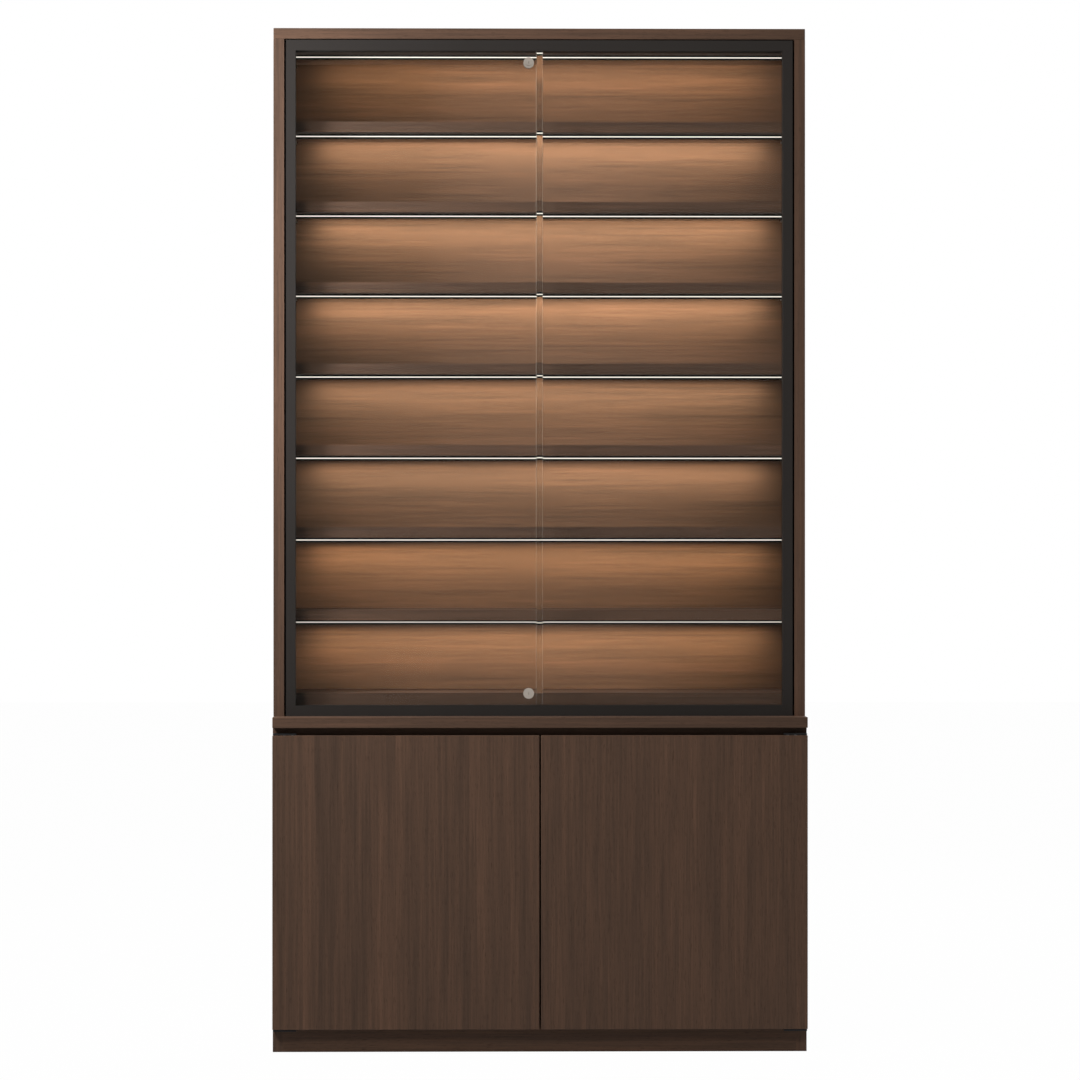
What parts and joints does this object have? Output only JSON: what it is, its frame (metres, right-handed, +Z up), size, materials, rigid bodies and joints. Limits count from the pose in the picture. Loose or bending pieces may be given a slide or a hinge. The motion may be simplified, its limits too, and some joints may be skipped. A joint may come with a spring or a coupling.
{
  "type": "display case",
  "caption": "Tall walnut display case with sliding glass panes, push locks and a light bar over each shelf, on a cupboard with handleless doors.",
  "frame": {"origin": "on the floor, under the middle of the case's width and depth", "axes": "+Z up, -Y out of the doors and the glass, +X to the right when facing the doors"},
  "size_m": [1, 0.3, 1.92],
  "materials": {
    "walnut": "dark walnut veneer, matt lacquer",
    "charcoal_aluminium": "charcoal powder coat",
    "opal_light": "opal diffuser, lit",
    "clear_glass": "clear float glass with polished edges",
    "nylon": "natural nylon",
    "satin_nickel": "satin nickel",
    "steel": "zinc-plated steel",
    "black_steel": "black plated steel",
    "driver_case": "pale grey moulded plastic",
    "black_plastic": "black moulded plastic",
    "light_strip": "white circuit strip"
  },
  "bodies": {
    "cabinet": {"base_side_left": "walnut", "base_side_right": "walnut", "base_bottom": "walnut", "base_back": "walnut", "base_front_rail": "walnut", "base_rear_rail": "walnut", "base_shelf": "walnut", "plinth": "walnut", "ledge": "walnut", "upper_side_left": "walnut", "upper_side_right": "walnut", "upper_top": "walnut", "upper_top_lining": "walnut", "upper_bottom": "walnut", "upper_back": "walnut", "shelf_pins": "steel", "frame_top_track": "charcoal_aluminium", "frame_bottom_track": "charcoal_aluminium", "frame_stile_left": "charcoal_aluminium", "frame_stile_right": "charcoal_aluminium", "led_driver": "driver_case", "cable_grommet": "black_plastic", "wire_duct": "black_plastic", "led_strips": "light_strip", "hinge_plates": "black_steel", "shelf_1": "walnut", "shelf_2": "walnut", "shelf_3": "walnut", "shelf_4": "walnut", "shelf_5": "walnut", "shelf_6": "walnut", "shelf_7": "walnut", "led_profile_1": "charcoal_aluminium", "led_profile_2": "charcoal_aluminium", "led_profile_3": "charcoal_aluminium", "led_profile_4": "charcoal_aluminium", "led_profile_5": "charcoal_aluminium", "led_profile_6": "charcoal_aluminium", "led_profile_7": "charcoal_aluminium", "led_profile_8": "charcoal_aluminium", "led_diffuser_1": "opal_light", "led_diffuser_2": "opal_light", "led_diffuser_3": "opal_light", "led_diffuser_4": "opal_light", "led_diffuser_5": "opal_light", "led_diffuser_6": "opal_light", "led_diffuser_7": "opal_light", "led_diffuser_8": "opal_light"},
    "left_pane": {"glass_left": "clear_glass", "glides_left": "nylon", "lock_body_top": "satin_nickel", "lock_body_bottom": "satin_nickel"},
    "right_pane": {"glass_right": "clear_glass", "glides_right": "nylon"},
    "top_lock_plunger": {"lock_plunger_top": "satin_nickel"},
    "bottom_lock_plunger": {"lock_plunger_bottom": "satin_nickel"},
    "left_door": {"base_door_left": "walnut", "hinge_leaves_left": "black_steel"},
    "right_door": {"base_door_right": "walnut", "hinge_leaves_right": "black_steel"}
  },
  "joints": [
    {"name": "left_pane_slide", "type": "slide", "parent": "cabinet", "child": "left_pane", "axis": [1, 0, 0], "range_m": [0, 0.46085]},
    {"name": "right_pane_slide", "type": "slide", "parent": "cabinet", "child": "right_pane", "axis": [1, 0, 0], "range_m": [-0.46085, 0]},
    {"name": "left_door_hinge", "type": "hinge", "parent": "cabinet", "child": "left_door", "pos_m": [-0.494, -0.142, 0.2965], "axis": [0, 0, -1], "range_deg": [0, 105]},
    {"name": "right_door_hinge", "type": "hinge", "parent": "cabinet", "child": "right_door", "pos_m": [0.494, -0.142, 0.2965], "axis": [0, 0, 1], "range_deg": [0, 105]},
    {"name": "top_lock_push", "type": "slide", "parent": "left_pane", "child": "top_lock_plunger", "axis": [0, 1, 0], "range_m": [0, 0.004], "stiffness_N_per_m": 150},
    {"name": "bottom_lock_push", "type": "slide", "parent": "left_pane", "child": "bottom_lock_plunger", "axis": [0, 1, 0], "range_m": [0, 0.004], "stiffness_N_per_m": 150}
  ]
}
